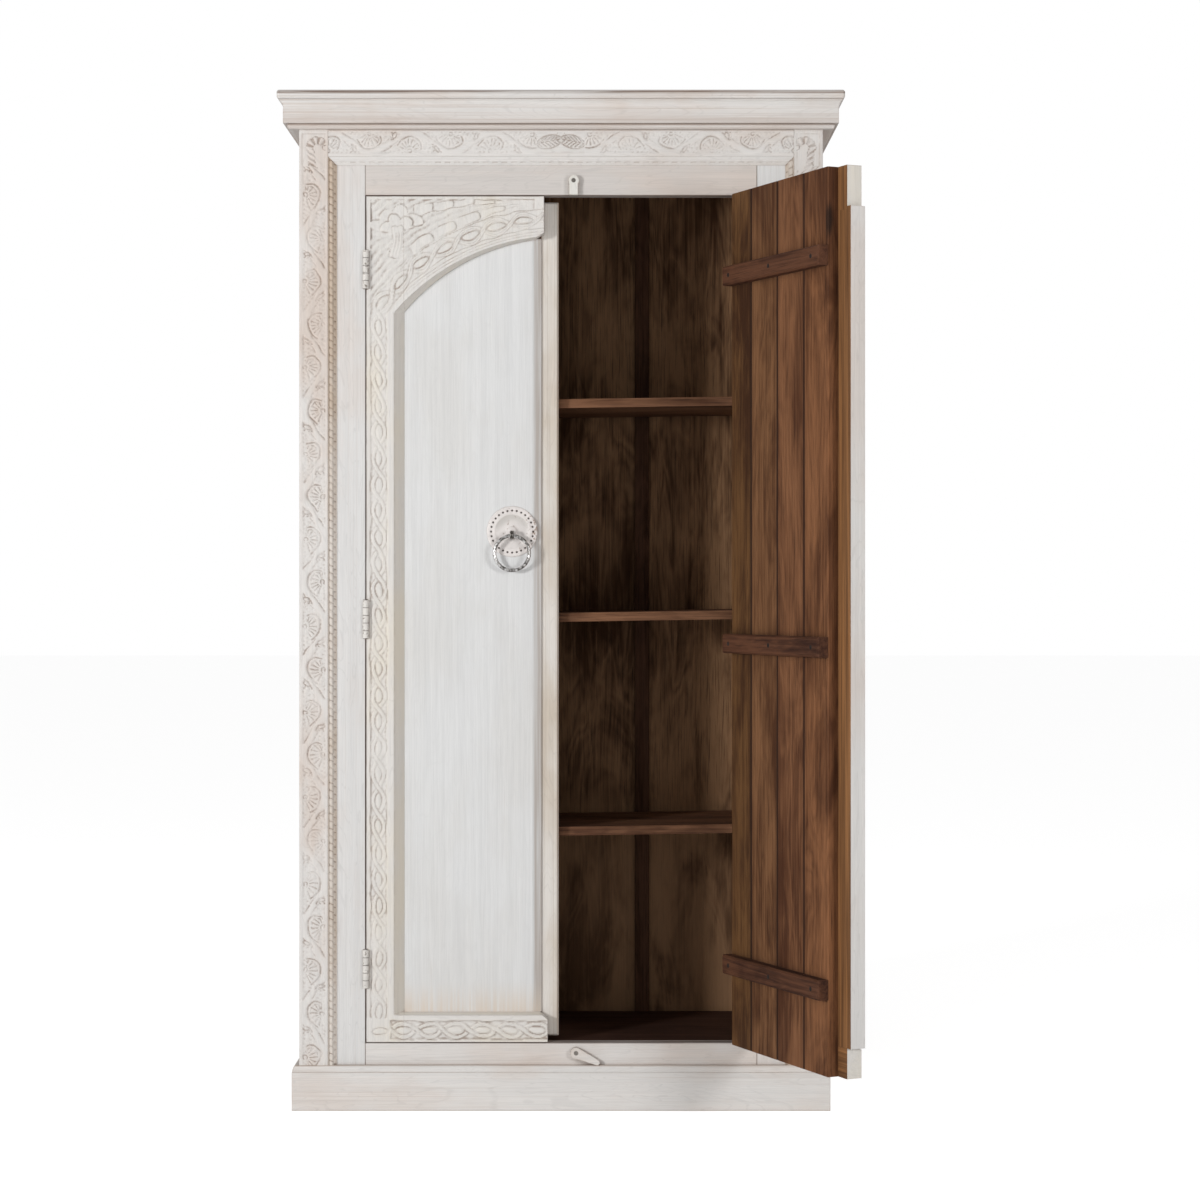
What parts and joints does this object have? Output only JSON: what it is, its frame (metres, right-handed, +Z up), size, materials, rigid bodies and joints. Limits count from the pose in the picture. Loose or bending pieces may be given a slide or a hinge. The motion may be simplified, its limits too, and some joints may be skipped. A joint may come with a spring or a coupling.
{
  "type": "cabinet",
  "caption": "Tall two-door cupboard with arched door panels behind carved borders, a stepped cornice, a plinth, shelves and ring pulls; one door stands open.",
  "frame": {"origin": "on the floor under the middle of the body, which is the middle of the underside of the floor bearer", "axes": "+X to the right seen from the front, +Y to the back, +Z up"},
  "size_m": [1.0191, 0.7328, 1.829],
  "materials": {
    "whitewash": "worn limewash over brown wood",
    "carved_wash": "carved, limewashed, rubbed on the high places",
    "panel_wash": "cool limewash with upright brush marks",
    "lip_wood": "thinly limewashed edge",
    "back_wood": "dark brown, dry",
    "muntin_wood": "brown, dry",
    "shelf_wood": "reddish brown, dry",
    "door_back_wood": "warm brown, dry",
    "batten_wood": "reddish brown",
    "hinge_steel": "steel under old paint",
    "screw_steel": "darkened",
    "plate_paint": "white paint, worn to brown at the rim",
    "ring_iron": "forged, lightly polished"
  },
  "bodies": {
    "carcass": {"plinth_front": "whitewash", "plinth_left": "whitewash", "plinth_right": "whitewash", "cornice_front": "whitewash", "cornice_left": "whitewash", "cornice_right": "whitewash", "top_board": "whitewash", "frame_stile_left": "whitewash", "frame_stile_right": "whitewash", "frame_rail_top": "whitewash", "frame_rail_bottom": "whitewash", "side_left": "whitewash", "side_right": "whitewash", "border_left": "carved_wash", "border_right": "carved_wash", "border_top": "carved_wash", "bead_left": "carved_wash", "bead_right": "carved_wash", "bead_top": "carved_wash", "back_panels": "back_wood", "back_muntins": "muntin_wood", "shelf_lower": "shelf_wood", "shelf_middle": "shelf_wood", "shelf_upper": "shelf_wood", "floor_board": "shelf_wood", "floor_bearer": "shelf_wood", "hinge_frame_leaves": "hinge_steel", "hinge_pins": "hinge_steel", "hinge_frame_screws": "screw_steel", "turn_button_screws": "screw_steel"},
    "left_door": {"left_door_stile": "whitewash", "left_door_rail": "whitewash", "left_door_spandrel": "whitewash", "left_door_panel": "panel_wash", "left_door_lip": "lip_wood", "left_door_plank_1": "door_back_wood", "left_door_plank_2": "door_back_wood", "left_door_plank_3": "door_back_wood", "left_door_plank_4": "door_back_wood", "left_door_battens": "batten_wood", "left_door_hinge_leaves": "hinge_steel", "left_door_screws": "screw_steel", "left_ring_plate": "plate_paint"},
    "left_ring": {"left_ring": "ring_iron"},
    "right_door": {"right_door_stile": "whitewash", "right_door_rail": "whitewash", "right_door_spandrel": "whitewash", "right_door_cover_strip": "whitewash", "right_door_panel": "panel_wash", "right_door_plank_1": "door_back_wood", "right_door_plank_2": "door_back_wood", "right_door_plank_3": "door_back_wood", "right_door_plank_4": "door_back_wood", "right_door_battens": "batten_wood", "right_door_hinge_leaves": "hinge_steel", "right_door_screws": "screw_steel", "right_ring_plate": "plate_paint"},
    "right_ring": {"right_ring": "ring_iron"},
    "turn_button_top": {"turn_button_top": "whitewash"},
    "turn_button_bottom": {"turn_button_bottom": "whitewash"}
  },
  "joints": [
    {"name": "left_door_hinge", "type": "hinge", "parent": "carcass", "child": "left_door", "pos_m": [-0.35125, -0.187, 0.8825], "axis": [0, 0, -1], "range_deg": [0, 165]},
    {"name": "right_door_hinge", "type": "hinge", "parent": "carcass", "child": "right_door", "pos_m": [0.35125, -0.187, 0.8825], "axis": [0, 0, 1], "range_deg": [-115, 50]},
    {"name": "left_ring_swing", "type": "hinge", "parent": "left_door", "child": "left_ring", "pos_m": [-0.0887, -0.1795, 1.0329], "axis": [-1, 0, 0], "range_deg": [0, 110]},
    {"name": "right_ring_swing", "type": "hinge", "parent": "right_door", "child": "right_ring", "pos_m": [0.45541, -0.42812, 1.0329], "axis": [0.4226, -0.9063, 0], "range_deg": [0, 110]},
    {"name": "top_button_turn", "type": "hinge", "parent": "carcass", "child": "turn_button_top", "pos_m": [0.0225, -0.189, 1.671], "axis": [0, -1, 0], "range_deg": [-90, 90]},
    {"name": "bottom_button_turn", "type": "hinge", "parent": "carcass", "child": "turn_button_bottom", "pos_m": [0.027, -0.189, 0.103], "axis": [0, -1, 0], "range_deg": [0, 228]}
  ]
}
